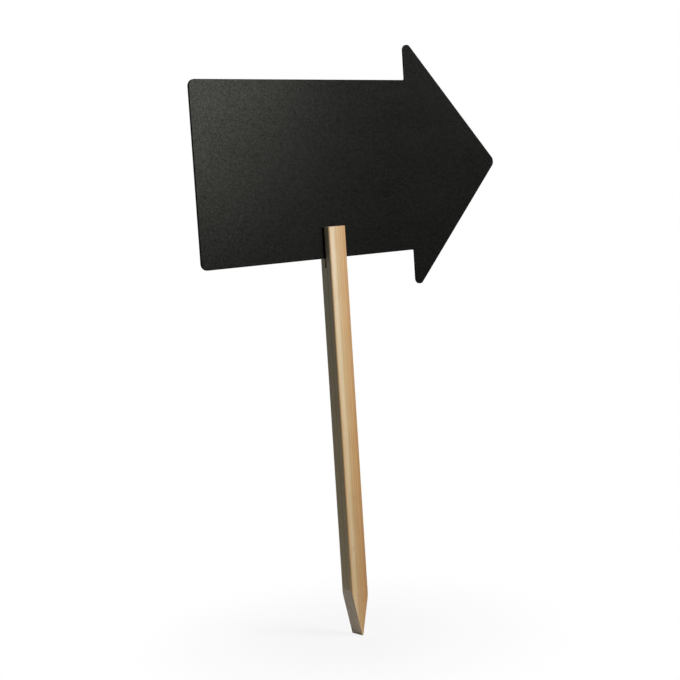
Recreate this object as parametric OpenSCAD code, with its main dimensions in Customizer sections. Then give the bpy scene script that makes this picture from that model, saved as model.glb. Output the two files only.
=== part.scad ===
// Arrow sign on a pointed ground stake, in millimetres.
// A thin writing board cut as an arrow stands in a saw slot in the top of a
// planed batten and is held there by two small countersunk screws from behind.
// Frame: the origin is the centre of the stake's blunt point. +Z runs up the
// stake, +X is the way the arrow points, and the reader stands on the -Y side.

/* [Board] */
// Length of the arrow's straight body, from its tail edge to the barbs
body_len = 362; // [300:1:460]
// Height of the straight body
body_h = 230; // [180:1:280]
// Length of the arrow head, from the barbs to the point before rounding
head_len = 172.5; // [140:0.5:240]
// Height of the arrow head over the two barbs before rounding
head_h = 346; // [300:1:440]
// Thickness of the board
board_t = 3; // [2:0.1:4]
// Radius on the two tail corners and the point
corner_r = 9; // [4:0.5:20]
// Radius on the two barbs
barb_r = 7.5; // [4:0.5:15]
// Radius left by the cutter in the two notches behind the barbs
notch_r = 2.5; // [1:0.5:8]

/* [Stake] */
// Width of the batten as the reader sees it
stake_w = 30; // [24:0.5:45]
// Depth of the batten from front to back
stake_d = 20; // [18:0.5:30]
// Length of the stake from its blunt point to its sawn top
stake_len = 546; // [400:1:900]
// Radius of the four long edges
arris_r = 2.5; // [1:0.1:4]
// Length of the left saw cut of the chisel point
left_cut_len = 64; // [30:1:120]
// Length of the right saw cut, which was started a little lower
right_cut_len = 58; // [30:1:120]
// Width of the flat that is left at the very end of the point
point_flat = 1.6; // [1:0.2:8]
// Distance from the board's tail edge to the middle of the stake
stake_at = 214.5; // [120:0.5:300]

/* [Saw slot] */
// Thickness of the wood that is left in front of the slot
front_cheek = 8.4; // [6:0.1:11]
// Gap between the board and each cheek
slot_gap = 0.1; // [0.05:0.05:0.3]
// How far the board reaches down into the slot
board_seat = 41; // [30:1:70]
// Open slot that runs on under the board's lower edge
slot_run_out = 12; // [2:1:30]

/* [Screws] */
// How far each screw reaches into the wood in front of the slot
screw_bite = 4.4; // [3:0.1:5]
// Diameter of the screw over its thread
screw_d = 3; // [2.5:0.1:4]
// Diameter of the countersunk head
screw_head_d = 6; // [5.8:0.1:8]
// Length of the screw's point
screw_point = 3; // [2:0.5:5]
// Gap all round each screw
screw_gap = 0.05; // [0.03:0.01:0.15]
// Distance from the stake's top end down to the upper screw
screw_from_top = 11; // [8:1:14]
// Distance from the board's lower edge up to the lower screw
screw_from_edge = 11; // [8:1:14]
// Length over each arm of the cross recess in the head
recess_len = 3; // [2.4:0.1:3.2]
// Width of each arm of the cross recess
recess_w = 0.8; // [0.5:0.1:1.2]
// Depth of the cross recess
recess_depth = 1.2; // [0.8:0.1:1.4]

/* [Hidden] */
$fn = 96;

// Heights and depths that more than one piece works from
board_bottom = stake_len - board_seat;
axis_z = board_bottom + body_h / 2;
slot_front = front_cheek - stake_d / 2;
board_front = slot_front + slot_gap;
slot_t = board_t + 2 * slot_gap;
slot_bottom = board_bottom - slot_run_out;
stake_back = stake_d / 2;
screw_len = stake_d - front_cheek + screw_bite;
upper_screw_z = stake_len - screw_from_top;
lower_screw_z = board_bottom + screw_from_edge;
screw_zs = [upper_screw_z, lower_screw_z];

// A cut that starts outside the wood starts this far outside
over = 1;

// The arrow's corners before rounding, clockwise from the upper tail corner.
// The first number runs from the tail, the second up from the arrow's axis.
corners = [
    [0, body_h / 2],
    [body_len, body_h / 2],
    [body_len, head_h / 2],
    [body_len + head_len, 0],
    [body_len, -head_h / 2],
    [body_len, -body_h / 2],
    [0, -body_h / 2]
];
// Which of those corners stand out, which of them are barbs, and the notches
outer = [0, 2, 3, 4, 6];
barbs = [2, 4];
notches = [1, 5];

function corner(i) = corners[(i + len(corners)) % len(corners)];
function toward(a, b) = (b - a) / norm(b - a);
function before(i) = toward(corner(i), corner(i - 1));
function after(i) = toward(corner(i), corner(i + 1));
function half_angle(i) = acos(before(i) * after(i)) / 2;
function among(i, list) = len(search(i, list)) > 0;
function radius(i) = among(i, notches) ? notch_r : among(i, barbs) ? barb_r : corner_r;
// Distance from the corner to the places where its arc meets the two edges
function cut_back(i) = radius(i) / tan(half_angle(i));
function to_centre(i) = toward([0, 0], before(i) + after(i)) * radius(i) / sin(half_angle(i));

// What rounding takes away at a corner, drawn from that corner: the part
// beyond the places where the arc meets the two edges, less the arc's circle
module corner_waste(i) {
    difference() {
        polygon([
            before(i) * cut_back(i),
            -(before(i) + after(i)) * over,
            after(i) * cut_back(i)
        ]);
        translate(to_centre(i)) circle(r = radius(i));
    }
}

// The arrow with its outer corners rounded. Each notch is first filled
// straight across, and the cutter's whole circle is then taken out of it.
module arrow_outline() {
    difference() {
        polygon([
            for (i = [0 : len(corners) - 1])
                if (among(i, notches))
                    each [
                        corner(i) + before(i) * cut_back(i),
                        corner(i) + after(i) * cut_back(i)
                    ]
                else
                    corner(i)
        ]);
        for (i = outer)
            translate(corner(i)) corner_waste(i);
        for (i = notches)
            translate(corner(i)) translate(to_centre(i)) circle(r = notch_r);
    }
}

// Turns a drawing made in X and Y to stand in X and Z, t thick, with its
// front at depth y
module upright(y, t) {
    translate([0, y + t, 0]) rotate([90, 0, 0]) linear_extrude(height = t) children();
}

// A straight hole from the stake's back, larger than the screw by its gap
module screw_hole(z) {
    translate([0, stake_back, z]) rotate([90, 0, 0]) screw_body(screw_gap, over);
}

// The turned form of the screw: head cone, shank and point. It starts at
// its flat head on Z = 0 and runs along +Z. Grown by a gap all round it is
// the cutter for its hole, carried out past the wood by a cylinder.
module screw_body(gap, past) {
    head_r = screw_head_d / 2 + gap;
    shank_r = screw_d / 2 + gap;
    head_z = head_r - shank_r;
    end_z = screw_len + gap;
    rotate_extrude() polygon([
        [0, -past],
        [head_r, -past],
        [head_r, 0],
        [shank_r, head_z],
        [shank_r, end_z - screw_point],
        [0.3 + gap, end_z],
        [0, end_z]
    ]);
}

module arrow_board() {
    color([0.13, 0.13, 0.13])
    difference() {
        upright(board_front, board_t)
            translate([-stake_at, axis_z]) arrow_outline();
        for (z = screw_zs) screw_hole(z);
    }
}

// Section of the planed batten with its four long edges rounded
module batten_section() {
    in_w = stake_w / 2 - arris_r;
    in_d = stake_d / 2 - arris_r;
    square([stake_w, 2 * in_d], center = true);
    square([2 * in_w, stake_d], center = true);
    for (x = [-in_w, in_w])
        for (y = [-in_d, in_d])
            translate([x, y]) circle(r = arris_r);
}

// Side view of the pointed end: two saw cuts, one each side, that leave a
// narrow flat. The cuts run on past the batten so that they leave no skin.
module point_cut() {
    side = stake_w / 2;
    flat = point_flat / 2;
    out_x = side + over;
    past = (out_x - flat) / (side - flat);
    polygon([
        [-flat, 0],
        [flat, 0],
        [out_x, right_cut_len * past],
        [out_x, stake_len + over],
        [-out_x, stake_len + over],
        [-out_x, left_cut_len * past]
    ]);
}

module stake() {
    color([0.76, 0.62, 0.44])
    difference() {
        intersection() {
            linear_extrude(height = stake_len) batten_section();
            upright(-stake_d / 2 - over, stake_d + 2 * over) point_cut();
        }
        translate([-stake_w / 2 - over, slot_front, slot_bottom])
            cube([stake_w + 2 * over, slot_t, stake_len - slot_bottom + over]);
        for (z = screw_zs) screw_hole(z);
    }
}

// A countersunk wood screw lying along -Y with its head flush in the back
module screw(z) {
    color([0.72, 0.72, 0.70])
    translate([0, stake_back, z]) rotate([90, 0, 0])
    difference() {
        screw_body(0, 0);
        for (turn = [0, 90])
            rotate([0, 0, turn])
                translate([-recess_len / 2, -recess_w / 2, -over])
                    cube([recess_len, recess_w, recess_depth + over]);
    }
}

module upper_screw() {
    screw(upper_screw_z);
}

module lower_screw() {
    screw(lower_screw_z);
}

arrow_board();
stake();
upper_screw();
lower_screw();
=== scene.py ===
"""An arrow-shaped chalkboard sign standing on a pointed softwood stake."""
import math

import bmesh
import bpy
import numpy as np
from mathutils import Matrix, Vector
from mathutils.geometry import tessellate_polygon


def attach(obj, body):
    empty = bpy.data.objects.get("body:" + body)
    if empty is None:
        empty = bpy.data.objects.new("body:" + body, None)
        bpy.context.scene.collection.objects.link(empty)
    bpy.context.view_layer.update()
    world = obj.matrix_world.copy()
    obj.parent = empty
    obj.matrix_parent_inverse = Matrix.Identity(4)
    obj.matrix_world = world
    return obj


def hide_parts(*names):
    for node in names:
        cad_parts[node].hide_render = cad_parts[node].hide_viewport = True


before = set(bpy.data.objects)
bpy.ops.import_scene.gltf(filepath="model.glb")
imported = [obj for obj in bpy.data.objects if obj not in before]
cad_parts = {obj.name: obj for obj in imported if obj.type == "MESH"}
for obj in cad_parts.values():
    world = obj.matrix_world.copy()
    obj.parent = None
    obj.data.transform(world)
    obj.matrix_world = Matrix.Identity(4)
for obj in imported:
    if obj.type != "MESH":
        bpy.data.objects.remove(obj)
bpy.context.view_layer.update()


# The stake
# One length of planed softwood batten, 30 by 20 mm. It is cross-cut at the
# top, slotted down from there for the board, and sawn to a chisel point. The
# slot, the point and the screw holes are cuts in the one solid, so the mesh is
# the frame's own stake with its loose triangles merged.

def merged_copy(node, name, ease):
    """Copies a node's mesh, merges its doubles and its level triangles, and eases
    the sawn edges. Faces that meet at less than the crease angle shade as one."""
    level_within = math.radians(0.3)
    crease = math.radians(20)
    mesh = bpy.data.meshes.new(name)
    work = bmesh.new()
    work.from_mesh(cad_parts[node].data)
    bmesh.ops.remove_doubles(work, verts=work.verts, dist=1e-6)
    bmesh.ops.dissolve_limit(work, angle_limit=level_within, verts=work.verts, edges=work.edges)
    for face in work.faces:
        face.smooth = True
    for edge in work.edges:
        edge.smooth = edge.calc_face_angle(0) < crease
    work.to_mesh(mesh)
    work.free()
    made = bpy.data.objects.new(name, mesh)
    bpy.context.scene.collection.objects.link(made)
    bevel = made.modifiers.new("eased edges", "BEVEL")
    bevel.width = ease
    bevel.segments = 2
    bevel.limit_method = "ANGLE"
    bevel.angle_limit = crease
    bevel.use_clamp_overlap = True
    level = made.modifiers.new("level faces", "WEIGHTED_NORMAL")
    level.keep_sharp = True
    return made


stake = merged_copy("stake", "softwood_stake", ease=0.0004)
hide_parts("stake")
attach(stake, "root")


def linear(colour):
    """Turns an sRGB hex colour to linear: a power of 2.4, straight near black."""
    values = np.array([int(colour[i:i + 2], 16) for i in (1, 3, 5)]) / 255
    values = np.where(values <= 0.04045, values / 12.92, ((values + 0.055) / 1.055) ** 2.4)
    return (*values.tolist(), 1.0)


def add(tree, kind, values=(), links=(), **settings):
    """Adds one node: settings go on the node, values on its sockets and links into
    them. On a Mix node of colours the sockets are 0 the share, 6 and 7 the colours;
    on a Map Range node 0 is the value, 1 and 2 its range and 3 and 4 the new range."""
    node = tree.nodes.new("ShaderNode" + kind)
    for name, value in settings.items():
        setattr(node, name, value)
    for socket, value in dict(values).items():
        node.inputs[socket].default_value = value
    for socket, source in dict(links).items():
        tree.links.new(source, node.inputs[socket])
    return node


def set_stops(ramp, stops):
    """Gives a colour ramp its stops: pairs of a place from 0 to 1 and a hex colour."""
    points = ramp.color_ramp.elements
    while len(points) > 1:
        points.remove(points[-1])
    points[0].position = stops[0][0]
    points[0].color = linear(stops[0][1])
    for place, colour in stops[1:]:
        points.new(place).color = linear(colour)


def softwood():
    """Spruce, planed and left bare: a broad pale band of early wood on the left
    of the face, closer and darker late wood on its right, straight fibre along
    the batten, two pin knots, and a dry, furry look where it was sawn, paler
    there partly with painted light; painted shade darkens it towards the point."""
    material = bpy.data.materials.new("planed_bare_softwood")
    material.use_nodes = True
    tree = material.node_tree
    tree.nodes.clear()
    texture = add(tree, "TexCoord")
    place = texture.outputs["Object"]

    # The heart of the tree lay 35 mm behind the face and 25 mm left of its
    # middle, so the rings come out wide on the left and close on the right.
    # The distance from it sways by 2.2 mm and is read from 19.1 to 67.1 mm.
    from_heart = add(tree, "Mapping", {"Location": (0.025, -0.025, 0), "Scale": (1, 1, 0)},
                     {"Vector": place})
    reach = add(tree, "VectorMath", (), {0: from_heart.outputs[0]}, operation="LENGTH")
    sway_at = add(tree, "Mapping", {"Scale": (30, 30, 5)}, {"Vector": place})
    sway = add(tree, "TexNoise", {"Scale": 1.0, "Detail": 2.0}, {"Vector": sway_at.outputs[0]})
    swayed = add(tree, "Math", {1: 0.0022}, {0: sway.outputs[0], 2: reach.outputs["Value"]},
                 operation="MULTIPLY_ADD")
    across = add(tree, "MapRange", {1: 0.0191, 2: 0.0671}, {0: swayed.outputs[0]})
    rings = add(tree, "ValToRGB", (), {0: across.outputs[0]})
    set_stops(rings, [
        (0.000, "#c5b291"), (0.070, "#cdbe9f"), (0.110, "#b7a17c"), (0.122, "#ccbc9c"),
        (0.200, "#c6b494"), (0.245, "#b19a76"), (0.260, "#caba9b"), (0.330, "#c5b18e"),
        (0.372, "#bf9e70"), (0.400, "#d2b68e"), (0.418, "#d9c19e"), (0.440, "#d8c4a1"),
        (0.456, "#d2bc97"), (0.475, "#c9ad84"), (0.495, "#bd9c6d"), (0.508, "#cbac80"),
        (0.525, "#c7a677"), (0.541, "#b8935f"), (0.553, "#c6a171"), (0.578, "#c29b68"),
        (0.592, "#b48c58"), (0.603, "#c69f6c"), (0.630, "#c39a66"), (0.645, "#b0864f"),
        (0.656, "#b98f5b"), (0.690, "#b68c58"), (0.760, "#ba8f5a"), (0.775, "#c59c69"),
        (0.850, "#b98e58"), (0.865, "#c8a06c"), (1.000, "#c29a66"),
    ])

    # Fibres are 0.03 mm across and a few mm long. What shows is bundles of them,
    # so these are drawn 0.4 mm across and 40 mm long, and 0.15 by 5 mm over that
    bundle_at = add(tree, "Mapping", {"Scale": (2300, 2300, 24)}, {"Vector": place})
    bundles = add(tree, "TexNoise", {"Scale": 1.0, "Detail": 3.0, "Roughness": 0.6},
                  {"Vector": bundle_at.outputs[0]})
    fibre_at = add(tree, "Mapping", {"Scale": (6500, 6500, 200)}, {"Vector": place})
    fibres = add(tree, "TexNoise", {"Scale": 1.0, "Detail": 2.0},
                 {"Vector": fibre_at.outputs[0]})
    streaks = add(tree, "Math", {1: 0.5}, {0: fibres.outputs[0], 2: bundles.outputs[0]},
                  operation="MULTIPLY_ADD")
    shade = add(tree, "MapRange", {1: 0.45, 2: 1.05, 3: 0.845, 4: 1.175}, {0: streaks.outputs[0]})
    toned = add(tree, "Mix", {0: 1.0}, {6: rings.outputs[0], 7: shade.outputs[0]},
                data_type="RGBA", blend_type="MULTIPLY")
    # Slow change of tone along the batten, over some 60 mm
    patch_at = add(tree, "Mapping", {"Scale": (70, 70, 16)}, {"Vector": place})
    patches = add(tree, "TexNoise", {"Scale": 1.0, "Detail": 3.0}, {"Vector": patch_at.outputs[0]})
    patch = add(tree, "ValToRGB", (), {0: patches.outputs[0]})
    set_stops(patch, [(0.30, "#f6f0e8"), (0.55, "#ffffff"), (0.75, "#fbf7f4")])
    toned = add(tree, "Mix", {0: 1.0}, {6: toned.outputs[2], 7: patch.outputs[0]},
                data_type="RGBA", blend_type="MULTIPLY")

    # Painted shade: the wood is made a little warmer and darker towards the point, from 520 mm
    # down, for the light that falls off down the stake
    height = add(tree, "SeparateXYZ", (), {0: place})
    low = add(tree, "MapRange", {1: 0.52, 2: 0.0}, {0: height.outputs["Z"]})
    painted_low_shade = add(tree, "ValToRGB", (), {0: low.outputs[0]})
    set_stops(painted_low_shade, [(0.05, "#ffffff"), (0.31, "#f9f5e9"), (0.56, "#f1e8d5"), (0.77, "#e7dcc9")])
    wood_tone = add(tree, "Mix", {0: 1.0}, {6: toned.outputs[2], 7: painted_low_shade.outputs[0]},
                    data_type="RGBA", blend_type="MULTIPLY").outputs[2]

    # Two pin knots in the front face, given by X, Z and the distance at which
    # they have faded out. Along the fibre they reach two and a half times as far,
    # and inwards eight times, because a branch runs in to the heart.
    face_depth = 0.010
    for x, z, size in ((0.0005, 0.1865, 0.0023), (-0.0066, 0.1194, 0.0018)):
        knot_at = add(tree, "VectorMath", {1: (-x, face_depth, -z)}, {0: place}, operation="ADD")
        knot_at = add(tree, "VectorMath", {1: (1, 0.12, 0.4)}, {0: knot_at.outputs[0]},
                      operation="MULTIPLY")
        away = add(tree, "VectorMath", (), {0: knot_at.outputs[0]}, operation="LENGTH")
        core = add(tree, "MapRange", {1: 0.0, 2: size, 3: 0.55, 4: 0.0}, {0: away.outputs["Value"]})
        wood_tone = add(tree, "Mix", {7: linear("#9a6d42")}, {0: core.outputs[0], 6: wood_tone},
                        data_type="RGBA").outputs[2]

    # Cross-cut and sawn faces lie across the fibre: dry, pale and greyer, with
    # torn specks. They are the faces that look up or down at all. Their paler
    # colour is partly dry sawn wood and partly painted light, for the light that
    # the faces of the point take from the white floor. The specks are drawn 2 mm
    # across and 6 mm along the batten, coarser than the real ones of half a
    # millimetre, so that they show.
    facing = add(tree, "SeparateXYZ", (), {0: texture.outputs["Normal"]})
    tilt = add(tree, "Math", (), {0: facing.outputs["Z"]}, operation="ABSOLUTE")
    sawn = add(tree, "MapRange", {1: 0.10, 2: 0.20}, {0: tilt.outputs[0]})
    torn_at = add(tree, "Mapping", {"Scale": (500, 500, 170)}, {"Vector": place})
    torn = add(tree, "TexNoise", {"Scale": 1.0, "Detail": 4.0, "Roughness": 0.65},
               {"Vector": torn_at.outputs[0]})
    dry_and_lit_tone = add(tree, "ValToRGB", (), {0: torn.outputs[0]})
    set_stops(dry_and_lit_tone, [(0.30, "#c5aa8c"), (0.50, "#dfc6ab"), (0.70, "#eedac3")])
    # How much of the pale tone, partly painted light, goes on these faces
    dry_and_lit_share = add(tree, "Math", {1: 0.66}, {0: sawn.outputs[0]}, operation="MULTIPLY")
    wood_tone = add(tree, "Mix", (), {0: dry_and_lit_share.outputs[0], 6: wood_tone, 7: dry_and_lit_tone.outputs[0]},
                    data_type="RGBA").outputs[2]

    # The planer leaves the late wood just proud; the saw leaves a rough face
    planed = add(tree, "Bump", {"Strength": 0.35, "Distance": 0.00012},
                 {"Height": streaks.outputs[0]})
    fur = add(tree, "Math", (), {0: torn.outputs[0], 1: sawn.outputs[0]}, operation="MULTIPLY")
    surface = add(tree, "Bump", {"Strength": 0.6, "Distance": 0.0004},
                  {"Height": fur.outputs[0], "Normal": planed.outputs[0]})
    smooth = add(tree, "MapRange", {1: 0.45, 2: 1.05, 3: 0.66, 4: 0.52}, {0: streaks.outputs[0]})
    rough = add(tree, "Math", {1: 0.25}, {0: sawn.outputs[0], 2: smooth.outputs[0]},
                operation="MULTIPLY_ADD", use_clamp=True)
    wood = add(tree, "BsdfPrincipled", {"IOR": 1.5, "Specular IOR Level": 0.5},
               {"Base Color": wood_tone, "Roughness": rough.outputs[0],
                "Normal": surface.outputs[0]})
    add(tree, "OutputMaterial", (), {"Surface": wood.outputs[0]})
    return material


stake.data.materials.append(softwood())


# The board
# A sheet of hardboard 3 mm thick, cut to the arrow with a small cutter and
# sprayed matt black all over, its edges just broken with fine paper. It drops
# into the slot and stands 0.1 mm clear of each cheek.

def arrow_points(inset):
    """Walks the arrow's outline clockwise. At each corner an arc of its radius
    meets both edges, so a point is the arc's centre plus the radius times the
    direction turned from the one edge's normal to the other's. Inset moves every
    point in along that normal."""
    # In millimetres: where the tail, the barbs and the point lie along X, the
    # height of the arrow's axis, and half the heights of its body and its head
    tail, barbs, point = -214.5, 147.5, 320
    axis, body, head = 620, 115, 173
    corner = np.array([(tail, axis + body), (barbs, axis + body), (barbs, axis + head),
                       (point, axis),
                       (barbs, axis - head), (barbs, axis - body), (tail, axis - body)]) / 1000
    # A notch curves the other way, so its radius is negative
    outer, notch, barb = 9, -2.5, 7.5
    radius = np.array([outer, notch, barb, outer, barb, notch, outer]) / 1000
    points_on_arc = 17
    along = np.roll(corner, -1, axis=0) - corner
    along /= np.linalg.norm(along, axis=1, keepdims=True)
    came = np.roll(along, 1, axis=0)
    turn = np.arccos(np.clip((came * along).sum(1), -1, 1))
    out_from = np.stack([-came[:, 1], came[:, 0]], 1)
    out_to = np.stack([-along[:, 1], along[:, 0]], 1)
    halfway = out_from + out_to
    halfway /= np.linalg.norm(halfway, axis=1, keepdims=True)
    centre = corner - halfway * (radius / np.cos(turn / 2))[:, None]
    share = np.linspace(0, 1, points_on_arc)[None, :, None]
    swing = turn[:, None, None]
    normal = (np.sin((1 - share) * swing) * out_from[:, None]
              + np.sin(share * swing) * out_to[:, None]) / np.sin(swing)
    points = centre[:, None] + normal * radius[:, None, None]
    return (points - normal * inset).reshape(-1, 2)


def board_sheet():
    """A grid of the outline by the edge's profile: the profile starts flat on the
    front, follows a quarter round of 0.25 mm to the edge, runs across and turns
    in again to end flat behind. The two faces are level fills inside it, with
    the two screw holes as open tubes between them."""
    front, back = -0.0015, 0.0015
    # The quarter round, and how far the paper took the whole edge back
    ease, rubbed = 0.00025, 0.00003
    hole_radius, hole_sides = 0.00155, 32
    hole_heights = (0.535, 0.516)
    angle = np.radians(np.linspace(0, 90, 4))
    inset = rubbed + np.concatenate([[3 * ease], ease * (1 - np.sin(angle)),
                                     ease * (1 - np.cos(angle)), [3 * ease]])
    depth = np.concatenate([[front], front + ease * (1 - np.cos(angle)),
                            back - ease * (1 - np.sin(angle)), [back]])
    rims = [arrow_points(step) for step in inset]
    count, rows = len(rims[0]), len(rims)
    edge = np.zeros((rows, count, 3))
    edge[:, :, [0, 2]] = rims
    edge[:, :, 1] = depth[:, None]
    around = np.linspace(0, 2 * np.pi, hole_sides, endpoint=False)
    holes = [np.stack([hole_radius * np.sin(around), np.full(hole_sides, y),
                       height + hole_radius * np.cos(around)], 1)
             for height in hole_heights for y in (front, back)]
    points = np.concatenate([edge.reshape(-1, 3), *holes])

    def band(first, second, size):
        """The quads between two rings of points that start at first and second."""
        here = np.arange(size)
        following = (here + 1) % size
        return np.stack([first + here, first + following, second + following, second + here], 1)

    quads = [band(row * count, (row + 1) * count, count) for row in range(rows - 1)]
    # The holes' rings come after the edge's: front and back of the upper one,
    # then front and back of the lower one
    ring_starts = rows * count + hole_sides * np.arange(len(holes))
    front_rings, back_rings = ring_starts[::2], ring_starts[1::2]
    tubes = [band(behind, ahead, hole_sides) for ahead, behind in zip(front_rings, back_rings)]
    faces = np.concatenate([*quads, *tubes]).tolist()
    for rim, rings, flip in ((0, front_rings, False), ((rows - 1) * count, back_rings, True)):
        loops = [rim + np.arange(count)]
        loops += [start + np.arange(hole_sides) for start in rings]
        numbers = np.concatenate(loops)
        flat = [points[loop][:, [0, 2]].tolist() for loop in loops]
        fill = numbers[np.array(tessellate_polygon(flat))]
        a, b, c = (points[fill[:, k]][:, [0, 2]] for k in range(3))
        clockwise = ((b - a)[:, 0] * (c - a)[:, 1] - (b - a)[:, 1] * (c - a)[:, 0]) < 0
        wrong = clockwise != flip
        fill[wrong] = fill[wrong][:, ::-1]
        faces += fill.tolist()
    return points, faces


def from_points(name, points, faces):
    """Makes an object of the points and faces, smooth except over its sharp edges."""
    crease = math.radians(30)
    mesh = bpy.data.meshes.new(name)
    mesh.from_pydata(points.tolist(), [], faces)
    work = bmesh.new()
    work.from_mesh(mesh)
    bmesh.ops.recalc_face_normals(work, faces=work.faces)
    for face in work.faces:
        face.smooth = True
    for edge in work.edges:
        edge.smooth = edge.calc_face_angle(0) < crease
    work.to_mesh(mesh)
    work.free()
    made = bpy.data.objects.new(name, mesh)
    bpy.context.scene.collection.objects.link(made)
    return made


board = from_points("black_arrow_board", *board_sheet())
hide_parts("arrow_board")
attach(board, "root")


def chalkboard():
    """Matt black chalkboard coating, sprayed: an even fine tooth, with a slight
    haze where it has been wiped."""
    material = bpy.data.materials.new("matt_black_chalkboard_coating")
    material.use_nodes = True
    tree = material.node_tree
    tree.nodes.clear()
    place = add(tree, "TexCoord").outputs["Object"]

    # The tooth of the coating is about 0.1 mm; it is drawn at 2 mm, the
    # smallest that the picture can show, and once more at 0.3 mm for close views
    tooth = add(tree, "TexNoise", {"Scale": 480.0, "Detail": 2.0, "Roughness": 0.6},
                {"Vector": place})
    fine = add(tree, "TexNoise", {"Scale": 3200.0, "Detail": 1.0}, {"Vector": place})
    grains = add(tree, "Math", {1: 0.5}, {0: fine.outputs[0], 2: tooth.outputs[0]},
                 operation="MULTIPLY_ADD")
    # The haze lies in slanting strokes, some 200 mm long and 70 mm high
    haze_at = add(tree, "Mapping", {"Rotation": (0, 0.35, 0), "Scale": (5, 5, 14)},
                  {"Vector": place})
    haze = add(tree, "TexNoise", {"Scale": 1.0, "Detail": 4.0, "Roughness": 0.55},
               {"Vector": haze_at.outputs[0]})
    speck = add(tree, "MapRange", {1: 0.55, 2: 0.95, 3: 0.35, 4: 1.65}, {0: grains.outputs[0]})
    cloud = add(tree, "ValToRGB", (), {0: haze.outputs[0]})
    set_stops(cloud, [(0.30, "#0a0a09"), (0.70, "#0c0c0b")])
    coat = add(tree, "Mix", {0: 1.0}, {6: cloud.outputs[0], 7: speck.outputs[0]},
               data_type="RGBA", blend_type="MULTIPLY")
    bump = add(tree, "Bump", {"Strength": 0.3, "Distance": 0.00005}, {"Height": grains.outputs[0]})
    rough = add(tree, "MapRange", {1: 0.3, 2: 0.7, 3: 0.23, 4: 0.27}, {0: haze.outputs[0]})
    # The tooth breaks up the sheen as well: a grain that stands up takes more
    # of it. The number on the shader's own socket is the mean of the pattern.
    shine = add(tree, "MapRange", {1: 0.55, 2: 0.95, 3: 0.02, 4: 0.05}, {0: grains.outputs[0]})
    paint = add(tree, "BsdfPrincipled",
                {"IOR": 1.5, "Specular IOR Level": 0.035, "Specular Tint": linear("#fbffed")},
                {"Base Color": coat.outputs[2], "Roughness": rough.outputs[0],
                 "Specular IOR Level": shine.outputs[0], "Normal": bump.outputs[0]})
    add(tree, "OutputMaterial", (), {"Surface": paint.outputs[0]})
    return material


board.data.materials.append(chalkboard())


# The two screws
# Countersunk wood screws of bright zinc-plated steel, 3 by 16 mm, driven from
# behind through the rear cheek and the board. The frame's own screws stay.

def zinc_plate():
    """Zinc plate on steel: a cool grey mirror made cloudy by fine crystals and by
    the driver's rubbing, so that lamps show in it as soft patches."""
    material = bpy.data.materials.new("bright_zinc_plated_steel")
    material.use_nodes = True
    tree = material.node_tree
    tree.nodes.clear()
    place = add(tree, "TexCoord").outputs["Object"]
    # Crystals of the plating are some 0.05 mm; they are drawn at 0.3 mm, and the
    # rubbed clouds at 1.1 mm, so that they show on a head of 6 mm
    crystals = add(tree, "TexVoronoi", {"Scale": 3300.0}, {"Vector": place})
    cloud = add(tree, "TexNoise", {"Scale": 900.0, "Detail": 3.0}, {"Vector": place})
    tone = add(tree, "ValToRGB", (), {0: cloud.outputs[0]})
    set_stops(tone, [(0.3, "#7d8184"), (0.7, "#9a9d9d")])
    rough = add(tree, "MapRange", {1: 0.0, 2: 1.0, 3: 0.36, 4: 0.50},
                {0: crystals.outputs["Distance"]})
    bump = add(tree, "Bump", {"Strength": 0.2, "Distance": 0.00005}, {"Height": cloud.outputs[0]})
    metal = add(tree, "BsdfPrincipled", {"Metallic": 1.0},
                {"Base Color": tone.outputs[0], "Roughness": rough.outputs[0],
                 "Normal": bump.outputs[0]})
    add(tree, "OutputMaterial", (), {"Surface": metal.outputs[0]})
    return material


zinc = zinc_plate()
for node in ("upper_screw", "lower_screw"):
    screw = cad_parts[node]
    screw.data.materials.clear()
    screw.data.materials.append(zinc)


# The studio
# A white floor that runs on to a white background, three soft lamps in front
# and to the right, one behind, and a dim even fill all round.

def floor():
    """A flat square at the stake's point. It shows as plain white farther out,
    and near the point it is lit, so that it takes the shadow."""
    reach = 12.0
    points = np.array([(-reach, -reach, 0), (reach, -reach, 0),
                       (reach, reach, 0), (-reach, reach, 0)])
    made = from_points("studio_floor", points, [(0, 1, 2, 3)])
    material = bpy.data.materials.new("white_studio_floor")
    material.use_nodes = True
    tree = material.node_tree
    tree.nodes.clear()
    place = add(tree, "TexCoord").outputs["Object"]
    away = add(tree, "VectorMath", (), {0: place}, operation="LENGTH")
    # How much of it is plain white: from 85% at the point to all of it 340 mm out
    spread = add(tree, "MapRange", {1: 0.02, 2: 0.34, 3: 0.85, 4: 1.0},
                 {0: away.outputs["Value"]}, interpolation_type="SMOOTHSTEP")
    far = add(tree, "MapRange", {1: 0.2, 2: 0.6}, {0: away.outputs["Value"]},
              interpolation_type="SMOOTHSTEP")
    ray = add(tree, "LightPath")
    seen = add(tree, "Math", (), {0: ray.outputs["Is Camera Ray"],
                                  1: ray.outputs["Is Glossy Ray"]}, operation="MAXIMUM")
    seen = add(tree, "Math", (), {0: seen.outputs[0], 1: ray.outputs["Is Transmission Ray"]},
               operation="MAXIMUM")
    share = add(tree, "Math", (), {0: seen.outputs[0], 1: spread.outputs[0]},
                operation="MULTIPLY")
    # What it throws up at the sign: near white beside the point, grey farther out
    bounce = add(tree, "Mix", {6: linear("#e6f2fb"), 7: linear("#8f9aa8")},
                 {0: far.outputs[0]}, data_type="RGBA")
    paper = add(tree, "Mix", {7: linear("#f4f4f3")},
                {0: seen.outputs[0], 6: bounce.outputs[2]}, data_type="RGBA")
    lit = add(tree, "BsdfDiffuse", (), {"Color": paper.outputs[2]})
    white = add(tree, "Emission", {"Color": (1, 1, 1, 1), "Strength": 1.0})
    mixed = add(tree, "MixShader", (), {0: share.outputs[0], 1: lit.outputs[0],
                                        2: white.outputs[0]})
    add(tree, "OutputMaterial", (), {"Surface": mixed.outputs[0]})
    made.data.materials.append(material)


floor()


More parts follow.
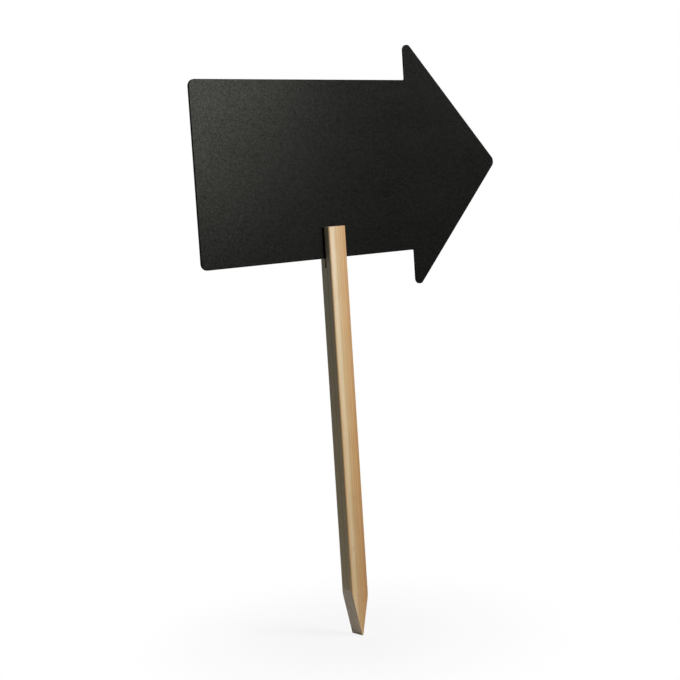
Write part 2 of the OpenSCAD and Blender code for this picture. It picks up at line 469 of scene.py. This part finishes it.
def backdrop():
    """The world: white to the camera and in reflections, a dim blue fill as light."""
    world = bpy.data.worlds.new("white_studio")
    bpy.context.scene.world = world
    world.use_nodes = True
    tree = world.node_tree
    tree.nodes.clear()
    ray = add(tree, "LightPath")
    seen = add(tree, "Math", (), {0: ray.outputs["Is Camera Ray"],
                                  1: ray.outputs["Is Glossy Ray"]}, operation="MAXIMUM")
    seen = add(tree, "Math", (), {0: seen.outputs[0], 1: ray.outputs["Is Transmission Ray"]},
               operation="MAXIMUM")
    fill = add(tree, "Background", {"Color": linear("#dcebff"), "Strength": 0.075})
    white = add(tree, "Background", {"Color": (1, 1, 1, 1), "Strength": 1.0})
    mixed = add(tree, "MixShader", (), {0: seen.outputs[0], 1: fill.outputs[0],
                                        2: white.outputs[0]})
    add(tree, "OutputWorld", (), {"Surface": mixed.outputs[0]})


backdrop()


def soft_lamp(name, where, aim, size, power):
    """A square area lamp at a place, turned to face another. The size is in metres
    and the power in watts."""
    lamp = bpy.data.lights.new(name, "AREA")
    lamp.shape = "SQUARE"
    lamp.size = size
    lamp.energy = power
    made = bpy.data.objects.new(name, lamp)
    made.location = where
    made.rotation_euler = (Vector(aim) - Vector(where)).to_track_quat("-Z", "Y").to_euler()
    bpy.context.scene.collection.objects.link(made)


# The key lights the front of the wood. The sheen lamp stands where the tail end
# of the board mirrors it to the camera, and the edge lamp lifts the arrow head.
# The back lamp shows the wood and the screws from behind.
middle = (0, 0, 0.6)
soft_lamp("key_softbox", (0.464, -0.93, 1.0), middle, 0.50, 8.4)
soft_lamp("sheen_softbox", (1.653, -2.913, 0.867), middle, 0.66, 44.9)
soft_lamp("edge_softbox", (1.673, -0.933, 1.029), middle, 0.5, 5.1)
soft_lamp("back_softbox", (0.9, 2.2, 0.8), (0, 0, 0.5), 1.6, 26.0)

# The camera stands left of the front, a little below the board's middle. It is
# turned right, tipped down and leans to one side by these degrees.
turn, drop, roll = (math.radians(a) for a in (41.5489, 5.7963, -3.648))
ahead = Vector((math.sin(turn) * math.cos(drop), math.cos(turn) * math.cos(drop), -math.sin(drop)))
level = ahead.cross(Vector((0, 0, 1))).normalized()
upward = level.cross(ahead)
right = math.cos(roll) * level + math.sin(roll) * upward
up = -math.sin(roll) * level + math.cos(roll) * upward
lens = bpy.data.cameras.new("camera")
lens.lens = 76.588
lens.sensor_width = 36.0
camera = bpy.data.objects.new("camera", lens)
camera.matrix_world = (Matrix.Translation((-1.2525, -1.4150, 0.5886))
                       @ Matrix((right, up, -ahead)).transposed().to_4x4())
bpy.context.scene.collection.objects.link(camera)
bpy.context.scene.camera = camera
bpy.context.scene.view_settings.view_transform = "Standard"
